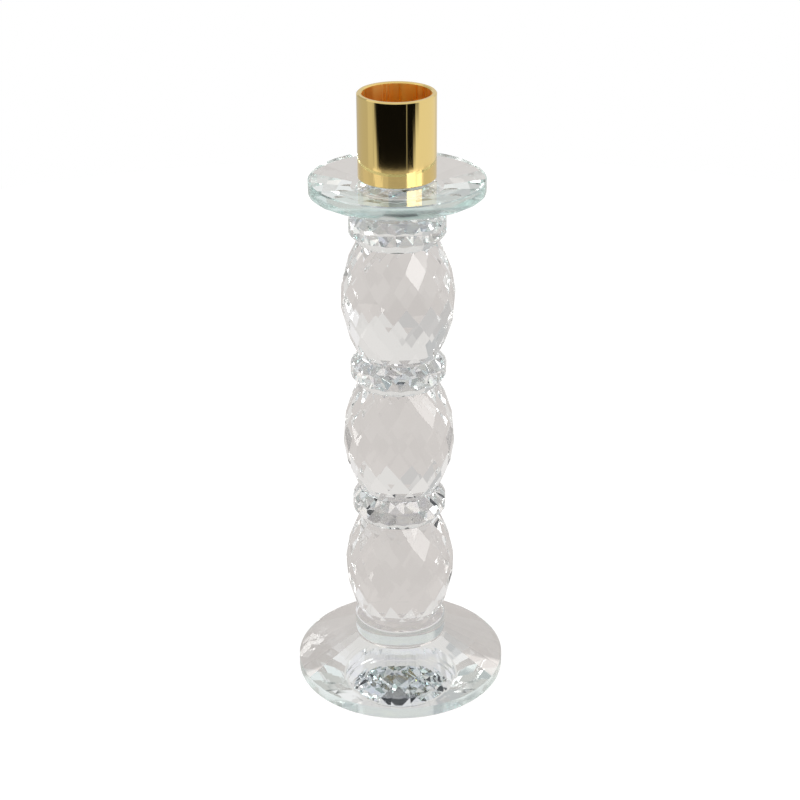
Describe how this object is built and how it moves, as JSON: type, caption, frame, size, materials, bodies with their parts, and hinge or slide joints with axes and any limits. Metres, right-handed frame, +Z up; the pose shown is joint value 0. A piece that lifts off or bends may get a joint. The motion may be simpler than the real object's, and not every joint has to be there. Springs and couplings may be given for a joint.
{
  "type": "glass candlestick",
  "caption": "Cut clear glass candlestick: wide flat foot, stacked faceted balls and beads, round drip plate and a gold-plated metal cup for a taper candle.",
  "frame": {"origin": "centre of the foot's flat underside, on the table", "axes": "+Z up along the column; the piece is round, so +X and +Y are any two level directions"},
  "size_m": [0.0774, 0.0774, 0.2241],
  "materials": {
    "clear_glass": "polished optical crystal, faintly blue-green in thickness",
    "clear_bond": "clear cured adhesive",
    "gold_plate": "gold plate, softly brushed"
  },
  "bodies": {
    "root": {"foot": "clear_glass", "collar": "clear_glass", "ball_lower": "clear_glass", "rondelle_lower": "clear_glass", "ball_middle": "clear_glass", "rondelle_middle": "clear_glass", "ball_upper": "clear_glass", "rondelle_upper": "clear_glass", "drip_plate": "clear_glass", "candle_cup": "gold_plate", "bond_under_collar": "clear_bond", "bond_under_ball_lower": "clear_bond", "bond_under_rondelle_lower": "clear_bond", "bond_under_ball_middle": "clear_bond", "bond_under_rondelle_middle": "clear_bond", "bond_under_ball_upper": "clear_bond", "bond_under_rondelle_upper": "clear_bond", "bond_under_drip_plate": "clear_bond", "bond_under_candle_cup": "clear_bond"}
  },
  "joints": []
}
